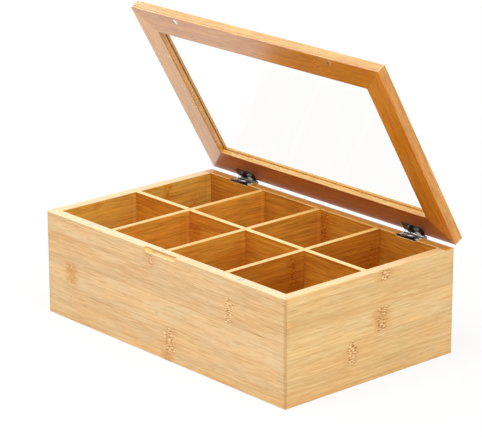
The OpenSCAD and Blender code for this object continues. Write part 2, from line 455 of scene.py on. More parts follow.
class Paint:
    """A material under construction, with its wiring and its shader."""

    def __init__(self, name: str) -> None:
        """Makes a material with the plain shader.

        Args:
            name: The material's name.
        """
        self.material = bpy.data.materials.new(name)
        self.material.use_nodes = True
        self.wire = Wiring(self.material.node_tree)
        self.shader = self.material.node_tree.nodes["Principled BSDF"]
        self.position = self.wire.take("ShaderNodeTexCoord", output="Object")

    def set(self, **values: object) -> None:
        """Feeds the shader's inputs, whose names write a blank as an underline."""
        for key, value in values.items():
            self.wire.feed(self.shader.inputs[key.replace("_", " ")], value)

    def emboss(self, height: Signal, strength: float, distance: float) -> None:
        """Gives the surface a relief.

        Args:
            height: The relief.
            strength: Share of it that shows.
            distance: Height of 1 in the relief, in metres.
        """
        self.set(Normal=self.wire.take("ShaderNodeBump", {
            "Strength": strength, "Distance": distance, "Height": height}))


class EffectGroup:
    """A shader node group under construction, with named inputs and outputs."""

    SOCKETS = {"number": "NodeSocketFloat", "vector": "NodeSocketVector", "colour": "NodeSocketColor"}

    def __init__(self, name: str, numbers: tuple[str, ...], colours: tuple[str, ...],
                 outputs: dict[str, str]) -> None:
        """Makes the group's tree and its sockets.

        Args:
            name: The group's name.
            numbers: Names of its inputs that are numbers, which follow an input named Vector.
            colours: Names of its inputs that are colours.
            outputs: Kind of each output by name, number or colour.
        """
        self.tree = bpy.data.node_groups.new(name, "ShaderNodeTree")
        inputs = {"Vector": "vector", **dict.fromkeys(numbers, "number"), **dict.fromkeys(colours, "colour")}
        for direction, sockets in (("INPUT", inputs), ("OUTPUT", outputs)):
            for label, kind in sockets.items():
                self.tree.interface.new_socket(name=label, in_out=direction, socket_type=self.SOCKETS[kind])
        self.wire = Wiring(self.tree)
        self.given = self.wire.signals(self.wire.node("NodeGroupInput"))
        self.result = self.wire.node("NodeGroupOutput")

    def give(self, **outputs: object) -> None:
        """Feeds the group's outputs by name."""
        for key, value in outputs.items():
            self.wire.feed(self.result.inputs[key], value)


class BambooEffects:
    """Builds the groups that all bamboo finishes share. Their lengths are in millimetres."""

    STRIPS = "bamboo strips"
    KNUCKLE = "bamboo knuckle"
    HOLLOW = "inside of the box"
    MITRE = "mitre seam"
    # Fibre noises by name: scale along the grain and across it, detail and roughness.
    FIBRES = {"bands": (0.012, 0.16, 2.0, 0.55), "streaks": (0.018, 0.60, 3.0, 0.65),
              "fibres": (0.050, 1.35, 2.0, 0.6), "dashes": (0.085, 1.6, 1.0, 0.5),
              "veins": (0.014, 0.22, 1.0, 0.5), "patches": (0.022, 0.07, 2.0, 0.6)}
    SWAY_SCALE, SWAY_MM = (0.011, 0.03, 0.03), 5.0
    SEED_STEP, LONG_SHIFT_MM, SIDE_SHIFT_MM = 1.37, 700.0, 90.0
    BAND_WEIGHT, STREAK_WEIGHT, FIBRE_WEIGHT, STRIP_WEIGHT = 0.9, 1.6, 1.7, 0.36
    DASH_SHARE, VEIN_SHARE, GLUE_SHARE, STREAK_RELIEF = 0.5, 0.8, 0.40, 0.6
    WOBBLE_SCALE, DOT_SCALE = (0.10, 0.22, 0.22), (0.30, 1.0, 1.0)
    WARM_CAST, COOL_CAST = (1.03, 0.97, 0.90), (0.97, 1.02, 1.08)
    DARK_FIBRE = (0.76, 0.60, 0.36)

    def build(self) -> None:
        """Builds every group once."""
        self.build_strips()
        self.build_knuckle()
        self.build_mitre()
        self.build_hollow()

    def build_strips(self) -> None:
        """Glued strips with fibres: each strip has its own tone, fibre pattern and glue line.

        The strip number is the floor of (across + shift) / height. Its white noise moves the fibre
        noises, which are long along the grain and fine across it, and shifts the strip's tone.
        """
        group = EffectGroup(self.STRIPS, ("Height", "Shift", "Seed", "Contrast"), ("Pale", "Deep"),
                            {"Color": "colour", "Relief": "number", "Tone": "number"})
        wire, given = group.wire, group.given
        along, across, through = wire.split(given["Vector"])
        lane = (across + given["Shift"]) / given["Height"]
        place = wire.calc("FRACT", lane)
        key = wire.calc("MULTIPLY_ADD", wire.calc("FLOOR", lane), self.SEED_STEP, given["Seed"])
        chance = wire.signals(wire.node("ShaderNodeTexWhiteNoise", {"W": key}, noise_dimensions="1D"))
        red, green, blue = wire.signals(wire.node("ShaderNodeSeparateColor", {0: chance["Color"]})).values()
        sway = wire.noise(wire.scaled(given["Vector"], *self.SWAY_SCALE), 1.0)
        space = wire.join(red * self.LONG_SHIFT_MM + along,
                          sway * self.SWAY_MM + (green * self.SIDE_SHIFT_MM + across),
                          blue * self.SIDE_SHIFT_MM + through)
        bands, streaks, fibres, dashes, veins, patches = (
            wire.noise(wire.scaled(space, long, fine, fine), detail, roughness)
            for long, fine, detail, roughness in self.FIBRES.values())
        mixed = ((bands - 0.5) * self.BAND_WEIGHT + (streaks - 0.5) * self.STREAK_WEIGHT
                 + (fibres - 0.5) * self.FIBRE_WEIGHT)
        strip_tone = (chance["Value"] - 0.5) * self.STRIP_WEIGHT
        tone = wire.calc("ADD", 0.5, given["Contrast"] * (mixed + strip_tone), clamp=True)
        cast = wire.mix(patches.ramp(0.32, 0.68), self.WARM_CAST, self.COOL_CAST)
        colour = wire.mix(1.0, wire.mix(tone, given["Deep"], given["Pale"]), cast, "MULTIPLY")
        dark = wire.mix(1.0, given["Deep"], self.DARK_FIBRE, "MULTIPLY")
        line = abs(veins - 0.5).ramp(0.028, 0.004) * fibres.ramp(0.40, 0.62)
        dash = dashes.ramp(0.54, 0.70) * streaks.ramp(0.62, 0.40) | line * self.VEIN_SHARE
        colour = wire.mix(dash * (given["Contrast"] * self.DASH_SHARE), colour, dark)
        edge = (place & 1.0 - place) * given["Height"]
        glue = edge.ramp(0.45, 0.08) * bands.ramp(0.25, 0.62)
        group.give(Color=wire.mix(glue * self.GLUE_SHARE, colour, dark), Tone=tone,
                   Relief=streaks * self.STREAK_RELIEF + fibres - (dash * self.DASH_SHARE + glue))

    def build_knuckle(self) -> None:
        """Knuckle of a cane across one strip: a brown stain with short dotted fibres in its middle.

        The masks fall off smoothly with |along| / half length, which a noise makes uneven, and stop at
        the strip's edges. Each is the larger of its own and the one given by the knuckle before.
        """
        chain = ("Stain", "Marks", "Glints")
        group = EffectGroup(self.KNUCKLE, ("Along", "Across", "Half Length", "Half Height", "Strength",
                                           "Blush", *chain), (), dict.fromkeys(chain, "number"))
        wire, given = group.wire, group.given
        along, across, _ = wire.split(given["Vector"])
        wobble = wire.noise(wire.scaled(given["Vector"], *self.WOBBLE_SCALE), 2.0)
        distance = abs((along - given["Along"]) / given["Half Length"] + (wobble - 0.5) * 2.2)
        window = abs((across - given["Across"]) / given["Half Height"]).ramp(1.05, 0.80)
        dots = wire.noise(wire.scaled(given["Vector"], *self.DOT_SCALE), 1.0)
        strong = distance.ramp(1.0, 0.45) * window * given["Strength"]
        halo = distance.ramp(2.1, 0.3) * window
        group.give(Stain=halo * given["Blush"] | given["Stain"],
                   Marks=strong * dots.ramp(0.51, 0.60) | given["Marks"],
                   Glints=strong * dots.ramp(0.47, 0.38) | given["Glints"])

    def build_mitre(self) -> None:
        """Thin line where two boards meet at 45 degrees, and the darker rounding of the upright corner.

        The seam is the plane in which half length minus |x| equals half depth minus |y|. The corner is
        where both margins together are small.
        """
        group = EffectGroup(self.MITRE, ("Half Length", "Half Depth", "Rim"), (),
                            {"Seam": "number", "Corner": "number"})
        wire, given = group.wire, group.given
        x, y, z = wire.split(given["Vector"])
        side, front = given["Half Length"] - abs(x), given["Half Depth"] - abs(y)
        group.give(Seam=abs(side - front).ramp(0.40, 0.08),
                   Corner=(given["Rim"] - z).ramp(0.5, 1.5) * (side + front).ramp(2.6, 1.2))

    def build_hollow(self) -> None:
        """Masks of the box's inside, below the rim and between the inner faces of the walls.

        Mask is the whole inside, which gets painted shade, Line a painted shadow below the rim, Band a
        strip next to the rear wall and to the long divider, and Top the rim and Rear the rim of the rear
        wall, which get painted light and shade.
        """
        group = EffectGroup(self.HOLLOW, ("Half Length", "Half Depth", "Rim"), (),
                            dict.fromkeys(("Mask", "Line", "Band", "Top", "Rear"), "number"))
        wire, given = group.wire, group.given
        x, y, z = wire.split(given["Vector"])
        walls = ((abs(x) - given["Half Length"]).ramp(0.5, 0.1)
                 * (abs(y) - given["Half Depth"]).ramp(0.5, 0.1))
        below, from_rear = given["Rim"] - z, given["Half Depth"] - y
        band = from_rear.ramp(5.0, 3.8) | y.ramp(-7.5, -6.3) * y.ramp(-2.2, -2.6)
        group.give(Mask=walls * below.ramp(0.15, 0.7), Top=below.ramp(0.6, 0.15),
                   Line=walls * (below.ramp(0.5, 1.0) * below.ramp(3.4, 1.8)),
                   Band=walls * band * below.ramp(1.0, 3.0), Rear=from_rear.ramp(1.4, 0.6))


# ------------------------------------------------------------------ finishes


@dataclass(frozen=True)
class Knuckle:
    """Where the cane's knuckle crosses a strip, in millimetres along and across the board."""

    along_mm: float
    across_mm: float
    half_length_mm: float
    half_height_mm: float
    strength: float
    blush: float


def scatter(seed: int, ends_mm: tuple[float, float], lanes_mm: tuple[float, ...],
            half_height_mm: float = 11.5, strength: float = 0.5) -> tuple[Knuckle, ...]:
    """Places one knuckle on each strip at a random place, the same each run.

    Args:
        seed: Seed of the random draws.
        ends_mm: Lowest and highest place along the board.
        lanes_mm: Middle of each strip across the board.
        half_height_mm: Half the strip's height.
        strength: Strength of the darkest knuckle.

    Returns:
        The knuckles.
    """
    draw = np.random.RandomState(seed)
    return tuple(Knuckle(float(draw.uniform(*ends_mm)), lane, float(draw.uniform(3.5, 7.0)), half_height_mm,
                         float(draw.uniform(0.45, 1.0)) * strength, float(draw.uniform(0.2, 0.9)) * strength)
                 for lane in lanes_mm)


@dataclass(frozen=True)
class ScoopFinish:
    """The finger scoop's cut, with painted light on its ledge and left end and a painted shadow below the
    rim.
    """

    half_length_mm: float = 21.6
    face_mm: float = -99.0
    cut_mm: float = 2.5
    foot_mm: float = 90.0
    line_mm: float = 95.8
    ledge_mm: float = 94.2
    # Colours of the painted light on the ledge and of the painted shadow in the line below the rim.
    ledge: Colour = tint(243, 190, 98)
    line: Colour = tint(170, 122, 58)
    torn_mm: float = 1.6

    def paint(self, wire: Wiring, millimetres: Signal, colour: Signal) -> Signal:
        """Paints light and shade in the cut: light on the ledge and at its left end, shadow in the line below
        the rim.

        Args:
            wire: The material's wiring.
            millimetres: Object position in millimetres.
            colour: The board's colour.

        Returns:
            The colour with the scoop's painted light and shade.
        """
        x, y, z = wire.split(millimetres)
        behind, half = y - self.face_mm, self.half_length_mm
        cut = (behind.ramp(0.03, 0.25) * behind.ramp(self.cut_mm + 0.3, self.cut_mm + 0.1)
               * abs(x).ramp(half, half - 0.5) * z.ramp(self.foot_mm, self.foot_mm + 1.0))
        torn = wire.noise(wire.scaled(millimetres, 0.25, 0.9, 0.9), 2.0, 0.6) * self.torn_mm
        height = z + (torn - self.torn_mm / 2)
        left_end = (torn * 4.0 + x).ramp(-0.35 * half, -0.65 * half)
        ledge = height.ramp(self.ledge_mm + 0.5, self.ledge_mm - 0.5, 0.0, 0.30) | left_end * 0.85
        line = height.ramp(self.line_mm - 0.3, self.line_mm + 0.3, 0.0, 0.65)
        return wire.mix(cut * line, wire.mix(cut * ledge, colour, self.ledge), self.line)


@dataclass(frozen=True)
class BambooFinish:
    """Satin lacquered bamboo for one board, which is the frame's node of that name.

    Strips are stacked across the board. inner_shade is painted shade: it multiplies the colour of faces
    inside the box and of the lid's underside. outer_shade, opening_shade and upper_shade paint light and
    shade on the lid's outer edges, on the edges round its window and on its top. With a shade for the
    right, the underside goes over to that one near the middle of the lid's length: a painted reflection.
    """

    node: str
    grain: Grain
    seed: float
    pale: Colour = tint(233, 199, 144)
    deep: Colour = tint(204, 157, 97)
    # Painted light on the board tops, and painted shade and reflection of the lid on the rear rim.
    rim: Colour = tint(247, 214, 166)
    rear_rim: Colour = tint(205, 136, 8)
    rim_share: float = 0.8
    # Painted shade inside, and painted light and shade on the lid's edges, round its window and on its top.
    inner_shade: Triple = (0.93, 0.62, 0.17)
    outer_shade: Triple = (1.0, 1.0, 1.0)
    opening_shade: Triple = (0.96, 0.94, 0.68)
    upper_shade: Triple = (1.02, 1.22, 1.8)
    right_shade: Triple | None = None
    shadow_line: float = 0.0
    corner_band: float = 0.0
    strip_mm: float = 24.0
    shift_mm: float = 16.0
    contrast: float = 1.0
    coat: float = 0.5
    coat_ior: float = 1.4
    knuckles: tuple[Knuckle, ...] = ()
    scoop: ScoopFinish | None = None
    pose: LidPose | None = None

    # Shares and colours of a knuckle's stain, marks and glints, and factors for parts of a board.
    KNUCKLE_TINTS = ((0.75, tint(206, 138, 62)), (0.85, tint(162, 92, 0)), (0.7, tint(255, 228, 168)))
    DEEP_INSIDE, PALE_INSIDE = (0.87, 0.81, 0.75), (1.11, 1.14, 1.16)
    # A painted shadow below the rim, a lighter band by the inner corners, and darker towards the bottom.
    SHADOW_SHADE, BAND_SHADE, FOOT_SHADE = (0.62, 0.55, 0.45), (1.25, 1.35, 1.6), (1.0, 0.94, 0.82)
    # Painted shade on the lid's lower arris, painted light in its groove, and the darker seam and corner.
    ARRIS_SHADE, GROOVE_SHADE, SEAM_SHADE = (0.96, 0.84, 0.62), (1.4, 1.6, 1.2), (0.58, 0.44, 0.30)
    SEAM_SHARE, CORNER_SHARE = 0.4, 0.45
    DEEP_ROUGHNESS, PALE_ROUGHNESS, COAT_ROUGHNESS, TOP_COAT, IOR = 0.40, 0.27, 0.2, 0.12, 1.4
    RELIEF_STRENGTH, RELIEF_HEIGHT = 0.35, 0.00006

    def apply(self, sizes: BoxSizes) -> None:
        """Gives the finish to the frame's node, for a body of the given sizes."""
        dress(frame["nodes"][self.node], self.material(sizes))

    def material(self, sizes: BoxSizes) -> bpy.types.Material:
        """Builds the finish as a material.

        Args:
            sizes: The body's sizes, for the faces that count as inside.

        Returns:
            The material.
        """
        paint = Paint(f"bamboo {self.node.replace('_', ' ')}")
        wire = paint.wire
        board = self.turned_space(paint, self.grain.rows)
        strips = wire.place(BambooEffects.STRIPS, Vector=board, Height=self.strip_mm, Shift=self.shift_mm,
                            Seed=self.seed, Pale=self.pale, Deep=self.deep, Contrast=self.contrast)
        tone = strips["Tone"]
        colour = self.knuckled(wire, board, strips["Color"])
        closed = self.turned_space(paint, Matrix.Identity(3))
        if self.pose:
            colour, inside, shade = self.lid_tones(paint, closed, sizes, colour)
        else:
            colour, inside, shade = self.body_tones(paint, closed, sizes, colour, tone)
        if self.scoop:
            colour = self.scoop.paint(wire, closed, colour)
        colour = wire.shade(colour, inside, shade)
        mitre = wire.place(BambooEffects.MITRE, Vector=closed, Half_Length=sizes.length_mm / 2,
                           Half_Depth=sizes.depth_mm / 2, Rim=sizes.height_mm)
        dim = mitre["Seam"] * self.SEAM_SHARE | mitre["Corner"] * self.CORNER_SHARE
        paint.set(Base_Color=wire.shade(colour, dim, self.SEAM_SHADE),
                  Roughness=tone.ramp(0.0, 1.0, self.DEEP_ROUGHNESS, self.PALE_ROUGHNESS),
                  Coat_Roughness=self.COAT_ROUGHNESS, Coat_IOR=self.coat_ior, IOR=self.IOR)
        paint.emboss(strips["Relief"], self.RELIEF_STRENGTH, self.RELIEF_HEIGHT)
        return paint.material

    def knuckled(self, wire: Wiring, board: Signal, colour: Signal) -> Signal:
        """Adds the knuckles' stain, marks and glints to a colour.

        Args:
            wire: The material's wiring.
            board: Position along, across and through the board in millimetres.
            colour: The strips' colour.

        Returns:
            The colour with the knuckles.
        """
        masks = (0.0, 0.0, 0.0)
        for knuckle in self.knuckles:
            stain, marks, glints = masks
            masks = wire.place(BambooEffects.KNUCKLE, Vector=board, Along=knuckle.along_mm,
                               Across=knuckle.across_mm, Half_Length=knuckle.half_length_mm,
                               Half_Height=knuckle.half_height_mm, Strength=knuckle.strength,
                               Blush=knuckle.blush, Stain=stain, Marks=marks, Glints=glints).values()
        if self.knuckles:
            for mask, (share, stain) in zip(masks, self.KNUCKLE_TINTS):
                colour = wire.mix(mask * share, colour, stain)
        return colour

    def lid_tones(self, paint: Paint, closed: Signal, sizes: BoxSizes,
                  colour: Signal) -> tuple[Signal, Signal, Signal | Triple]:
        """Painted light and shade on a lid rail's top, outer edges, opening and groove, by height and
        distance from the edge.

        Args:
            paint: The material under construction.
            closed: Position in millimetres with the lid closed.
            sizes: The body's sizes, which the lid shares.
            colour: The rail's colour.

        Returns:
            The toned colour, the mask of the underside and the underside's painted shade.
        """
        wire, pose = paint.wire, self.pose
        x, y, z = wire.split(closed)
        rise = z - pose.underside_mm
        margin = sizes.length_mm / 2 - abs(x) & sizes.depth_mm / 2 - abs(y)
        upper = rise.ramp(pose.thickness_mm - 0.6, pose.thickness_mm - 0.1)
        paint.set(Coat_Weight=upper.ramp(0.0, 1.0, self.coat, self.TOP_COAT))
        colour = wire.shade(colour, upper, self.upper_shade)
        # Painted light on the outer edges, with painted shade along their lower arris.
        arris = tuple(a * b for a, b in zip(self.outer_shade, self.ARRIS_SHADE))
        outer = wire.mix(rise.ramp(3.4, 1.8), self.outer_shade, arris)
        colour = wire.shade(colour, margin.ramp(0.6, 0.1), outer)
        edge = pose.rail_mm
        # Painted light in the groove, which lies in shade.
        depth = margin.ramp(edge - 8, edge - 6) * margin.ramp(edge - 0.1, edge - 0.4)
        groove = abs(rise - pose.groove_mm).ramp(1.35, 1.2) * depth
        colour = wire.shade(colour, groove, self.GROOVE_SHADE)
        colour = wire.shade(colour, margin.ramp(edge - 0.5, edge - 0.1), self.opening_shade)
        shade = self.inner_shade
        # The underside's shade goes over to another across the middle: a painted reflection, paler on the
        # left.
        if self.right_shade:
            shade = wire.mix(x.ramp(-25.0, 35.0), shade, self.right_shade)
        return colour, rise.ramp(0.75, 0.10), shade

    def body_tones(self, paint: Paint, closed: Signal, sizes: BoxSizes, colour: Signal,
                   tone: Signal) -> tuple[Signal, Signal, Triple]:
        """Tones of a wall's or divider's inside, rim and foot: painted shade inside and painted light and
        shade on the rim.

        Args:
            paint: The material under construction.
            closed: Position in millimetres.
            sizes: The body's sizes.
            colour: The board's colour.
            tone: How pale the strips are, which counts for more inside.

        Returns:
            The toned colour, the mask of the inside and the inside's painted shade.
        """
        wire = paint.wire
        paint.set(Coat_Weight=self.coat)
        hollow = wire.place(BambooEffects.HOLLOW, Vector=closed, Half_Length=sizes.inner_half_length_mm,
                            Half_Depth=sizes.inner_half_depth_mm, Rim=sizes.height_mm)
        colour = wire.shade(colour, hollow["Mask"], wire.mix(tone, self.DEEP_INSIDE, self.PALE_INSIDE))
        # The rim's colours are painted light, and painted shade at the rear under the lid.
        rim = wire.mix(hollow["Rear"], self.rim, self.rear_rim)
        colour = wire.mix(hollow["Top"] * self.rim_share, colour, rim)
        colour = wire.shade(colour, hollow["Line"] * self.shadow_line, self.SHADOW_SHADE)
        colour = wire.shade(colour, hollow["Band"] * self.corner_band, self.BAND_SHADE)
        colour = wire.shade(colour, wire.split(closed)[2].ramp(9.0, 2.0), self.FOOT_SHADE)
        return colour, hollow["Mask"], self.inner_shade

    def turned_space(self, paint: Paint, rows: Matrix) -> Signal:
        """Object position in millimetres, with a lid rail's swung back to closed, along the given rows.

        Args:
            paint: The material under construction.
            rows: Rows that give the along, across and through directions.

        Returns:
            The turned position.
        """
        turn, shift = rows, Vector((0, 0, 0))
        if self.pose:
            turn = rows @ self.pose.opening.transposed()
            shift = rows @ self.pose.axis - turn @ self.pose.axis
        return paint.wire.take("ShaderNodeMapping", {
            "Vector": paint.position, "Location": shift / MM, "Rotation": turn.to_euler("XYZ"),
            "Scale": (1 / MM, 1 / MM, 1 / MM)}, vector_type="POINT")


@dataclass(frozen=True)
class Wear:
    """Painted highlights and shadows: spots of another tone on a left and right pair, the same on each.

    The middle is that of the right-hand piece in metres. Each spot is its place from there and its
    half sizes, in millimetres.
    """

    middle: Vector
    colour: Colour
    spots: tuple[tuple[Triple, Triple], ...]
    metallic: float = 1.0

    def mask(self, wire: Wiring, millimetres: Signal) -> Signal:
        """Mask of the spots: each fades out where |(position - place) / half size| passes 1.

        Args:
            wire: The material's wiring.
            millimetres: Object position in millimetres.

        Returns:
            The largest of the spots' masks.
        """
        x, y, z = wire.split(millimetres)
        middle_x, middle_y, middle_z = self.middle / MM
        local = wire.join(wire.calc("SIGN", x) * -middle_x + x, y - middle_y, z - middle_z)
        masks = []
        for place, half in self.spots:
            offset = wire.take("ShaderNodeVectorMath", {0: local, 1: place}, operation="SUBTRACT")
            masks.append(wire.length(wire.scaled(offset, *(1 / size for size in half))).ramp(1.2, 0.8))
        return functools.reduce(operator.or_, masks)


@dataclass(frozen=True)
class MetalFinish:
    """Polished plate with fine rubbing marks."""

    name: str
    colour: Colour
    worn: Colour
    roughness: float
    scratched: float = 0.14
    # Spots of painted light and shade.
    wear: tuple[Wear, ...] = ()

    RELIEF_STRENGTH, RELIEF_HEIGHT = 0.25, 0.00002

    def material(self) -> bpy.types.Material:
        """Builds the plate: a noise of about a millimetre rubs its colour, and a fine one its gloss.

        Returns:
            The material.
        """
        paint = Paint(self.name)
        wire = paint.wire
        millimetres = wire.scaled(paint.position, 1 / MM, 1 / MM, 1 / MM)
        clouds = wire.noise(wire.scaled(millimetres, 0.9, 0.9, 0.9), 3.0, 0.6)
        scratches = wire.noise(wire.scaled(millimetres, 0.8, 14.0, 14.0), 2.0, 0.6)
        colour = wire.mix(clouds.ramp(0.42, 0.68), self.colour, self.worn)
        paint.set(Metallic=1.0)
        # Painted highlights and painted shadows; light spots are less metallic so that they stay light.
        for wear in self.wear:
            mask = wear.mask(wire, millimetres)
            colour = wire.mix(mask, colour, wear.colour)
            if wear.metallic < 1:
                paint.set(Metallic=mask.ramp(0.0, 1.0, 1.0, wear.metallic))
        paint.set(Base_Color=colour, Roughness=scratches * self.scratched + self.roughness)
        paint.emboss(scratches, self.RELIEF_STRENGTH, self.RELIEF_HEIGHT)
        return paint.material


@dataclass(frozen=True)
class PaneFinish:
    """Clear acrylic with a faint polish haze."""

    name: str = "clear pane"
    colour: Colour = (0.999, 1.0, 0.999)
    haze: float = 0.03
    ior: float = 1.08

    def material(self) -> bpy.types.Material:
        """Builds the clear sheet: a slow noise moves its gloss a little.

        Returns:
            The material.
        """
        paint = Paint(self.name)
        clouds = paint.wire.noise(paint.wire.scaled(paint.position, 40, 40, 40), 3.0, 0.6)
        paint.set(Base_Color=self.colour, Roughness=clouds.ramp(0.35, 0.75, 0.0, self.haze),
                  Transmission_Weight=1.0, IOR=self.ior)
        return paint.material


# ------------------------------------------------------------------ sub-assemblies


@dataclass
class Carcass:
    """The four mitred walls and the bottom panel."""

    sizes: BoxSizes
    # Colour of the side walls' tops: painted light.
    side_rim: Colour = tint(244, 204, 146)

    # Middle heights of the whole strips, and how far knuckles spread over a long and a short board.
    LANES_MM = (20.0, 44.0, 68.0)
    LONG_MM, SHORT_MM = (-140, 140), (-80, 80)

    def build(self) -> None:
        """Dresses each wall with its own fibres and knuckles, and painted light and shade on its rim and
        inside.
        """
        finishes = (
            BambooFinish("front_wall", Grain.LENGTHWISE_UPRIGHT, 3.1, scoop=ScoopFinish(), knuckles=(
                Knuckle(-125, 46, 6.0, 10.5, 0.35, 1.0), Knuckle(-13, 88, 6.0, 7.5, 0.7, 0.6),
                Knuckle(90, 68, 6.5, 12.0, 1.0, 0.1), Knuckle(12, 20, 8.0, 12.0, 0.9, 0.4),
                Knuckle(9, 4, 6.0, 5.0, 0.4, 1.0))),
            BambooFinish("right_wall", Grain.CROSSWISE_UPRIGHT, 8.7, tint(240, 206, 142), tint(211, 163, 97),
                         rim=self.side_rim, corner_band=0.5, contrast=0.85, shift_mm=5.0, strip_mm=23.2,
                         knuckles=(Knuckle(15, 92, 7.0, 5.5, 1.0, 0.7), Knuckle(12, 53, 7.0, 11.5, 1.0, 0.9),
                                   Knuckle(-23, 31, 6.5, 11.5, 1.0, 0.3))),
            BambooFinish("left_wall", Grain.CROSSWISE_UPRIGHT, 14.3, rim=self.side_rim, corner_band=0.5,
                         inner_shade=(1.0, 0.82, 0.30), knuckles=(
                             Knuckle(36, 88.5, 4.0, 8.5, 0.5, 0.7), Knuckle(-50, 93, 3.0, 4.0, 0.3, 0.5),
                             *scatter(11, self.SHORT_MM, self.LANES_MM))),
            BambooFinish("rear_wall", Grain.LENGTHWISE_UPRIGHT, 21.9, inner_shade=(0.84, 0.53, 0.13),
                         shadow_line=0.6, contrast=1.2, knuckles=(
                             Knuckle(-29, 91, 3.0, 5.0, 0.8, 0.1), Knuckle(8, 82, 4.0, 14.0, 0.9, 0.6),
                             *scatter(17, self.LONG_MM, self.LANES_MM[:2]))),
            BambooFinish("bottom_panel", Grain.LENGTHWISE_FLAT, 33.4, knuckles=scatter(
                23, self.LONG_MM, (-76.0, -52.0, -4.0, 20.0, 68.0), strength=0.8)))
        for finish in finishes:
            finish.apply(self.sizes)


@dataclass
class Dividers:
    """The long divider and the three cross dividers that make the eight compartments."""

    sizes: BoxSizes
    pale: Colour = tint(241, 205, 146)
    deep: Colour = tint(212, 160, 92)
    # Colours of the tops are painted light, and the shades painted shade inside, darkest on the right.
    long_rim: Colour = tint(246, 212, 136)
    cross_rim: Colour = tint(233, 189, 105)
    long_shade: Triple = (0.89, 0.58, 0.15)
    cross_shade: Triple = (0.93, 0.64, 0.18)
    right_shade: Triple = (0.70, 0.40, 0.085)

    def build(self) -> None:
        """Dresses each divider: each board has its own painted shade inside."""
        lanes, ends = Carcass.LANES_MM, Carcass.SHORT_MM
        BambooFinish("long_divider", Grain.LENGTHWISE_UPRIGHT, 41, self.pale, self.deep, self.long_rim,
                     inner_shade=self.long_shade, shadow_line=0.6, contrast=1.25, knuckles=(
                         Knuckle(-64, 78, 4.0, 8.0, 0.3, 0.5),
                         *scatter(41, Carcass.LONG_MM, lanes))).apply(self.sizes)
        spots = (Knuckle(-16, 81, 4.5, 14.0, 0.7, 0.5), Knuckle(78, 76, 3.5, 12.0, 0.5, 0.2))
        for word, seed, shade, knuckles in (
                ("left", 47, self.cross_shade, scatter(47, ends, lanes)),
                ("middle", 53, self.cross_shade, scatter(53, ends, lanes)),
                ("right", 59, self.right_shade, spots + scatter(59, ends, lanes[:2]))):
            BambooFinish(f"{word}_cross_divider", Grain.CROSSWISE_UPRIGHT, seed, self.pale, self.deep,
                         self.cross_rim, inner_shade=shade, corner_band=0.5,
                         knuckles=knuckles).apply(self.sizes)


@dataclass
class Lid:
    """The lid's four mitred rails and its clear pane."""

    sizes: BoxSizes
    pose: LidPose
    # Darker and more saturated than the walls: painted shade of the underside, which the top's shade takes
    # back.
    pale: Colour = tint(229, 176, 100)
    deep: Colour = tint(200, 136, 60)
    # Ten and a half strips, which puts the middle of a strip on the middle of each rail.
    lane_shift_mm: float = 252.0
    pane_ease_mm: float = 0.3
    corner_mm: float = 0.6
    corner_steps: int = 7

    def build(self) -> None:
        """Dresses the rails and makes the pane."""
        flat, cross = Grain.LENGTHWISE_FLAT, Grain.CROSSWISE_FLAT
        # Each rail's shades are painted light and shade: a painted shadow under the rear rail, a painted
        # reflection that makes the front and left undersides paler, and painted light on the front edge.
        self.dress_rail("front", flat, 61, -87.0, contrast=1.9, coat_ior=2.0, inner_shade=(0.98, 0.78, 0.18),
                        outer_shade=(1.13, 1.38, 1.14), right_shade=(0.88, 0.63, 0.03),
                        knuckles=(Knuckle(83, -88, 6.5, 12.0, 0.65, 1.0),))
        self.dress_rail("rear", flat, 67, 87.0, contrast=1.2, inner_shade=(0.57, 0.25, 0.02),
                        outer_shade=(1.0, 0.97, 0.85), opening_shade=(0.87, 0.96, 0.84))
        self.dress_rail("left", cross, 71, -147.0, contrast=1.2, coat_ior=2.0, inner_shade=(1.07, 0.99, 0.42),
                        outer_shade=(1.0, 0.95, 0.8), opening_shade=(0.94, 0.87, 0.12))
        self.dress_rail("right", cross, 79, 147.0, contrast=1.8, inner_shade=(1.0, 0.73, 0.20),
                        outer_shade=(0.95, 0.80, 0.34))
        self.build_pane()

    def dress_rail(self, word: str, grain: Grain, seed: int, lane_mm: float, **looks: object) -> None:
        """Dresses one rail, which is a single strip with one knuckle.

        Args:
            word: Which rail.
            grain: Which way its fibres run.
            seed: Seed of its fibres and of its knuckle's place.
            lane_mm: Middle of the rail across its fibres.
            looks: Other fields of its finish. Without knuckles, one is placed at random.
        """
        looks.setdefault("knuckles", scatter(seed, (-70, 70), (lane_mm,), 12.5, 0.6))
        BambooFinish(f"lid_{word}_rail", grain, seed, self.pale, self.deep, coat=1.0, pose=self.pose,
                     shift_mm=self.lane_shift_mm - lane_mm, **looks).apply(self.sizes)

    def build_pane(self) -> None:
        """Makes the pane: a rounded rectangle's outline shrinks along an eased edge section.

        Ring k lies at height h(k), moved in by d(k): each corner is an arc of radius corner - d about a
        centre that stays put, and the rest of the outline joins the arcs.
        """
        low, high = self.pose.closed_box("lid_window")
        centre, half = (low + high) / 2, (high - low) / 2
        ease, corner, steps = self.pane_ease_mm * MM, self.corner_mm * MM, self.corner_steps
        edge = quarter((0.0, half.z - ease), ease, 90, 0)
        section = np.concatenate([edge, edge[::-1] * (1, -1)])
        inset, height = ease - section[:, :1], section[:, 1:]
        angle = np.radians(np.concatenate([np.linspace(a, a + 90, steps) for a in (0, 90, 180, 270)]))
        sign_x, sign_y = np.repeat([1, -1, -1, 1], steps), np.repeat([1, 1, -1, -1], steps)
        x = centre.x + sign_x * (half.x - corner) + (corner - inset) * np.cos(angle)
        y = centre.y + sign_y * (half.y - corner) + (corner - inset) * np.sin(angle)
        vertices, faces = capped(np.stack([x, y, centre.z + height + 0 * angle], -1))
        pane = solid_from("window_pane", self.pose.swing(vertices), faces, sharp_degrees=30)
        settle(pane, PaneFinish().material(), "lid", "lid_window")
        pane.visible_shadow = False


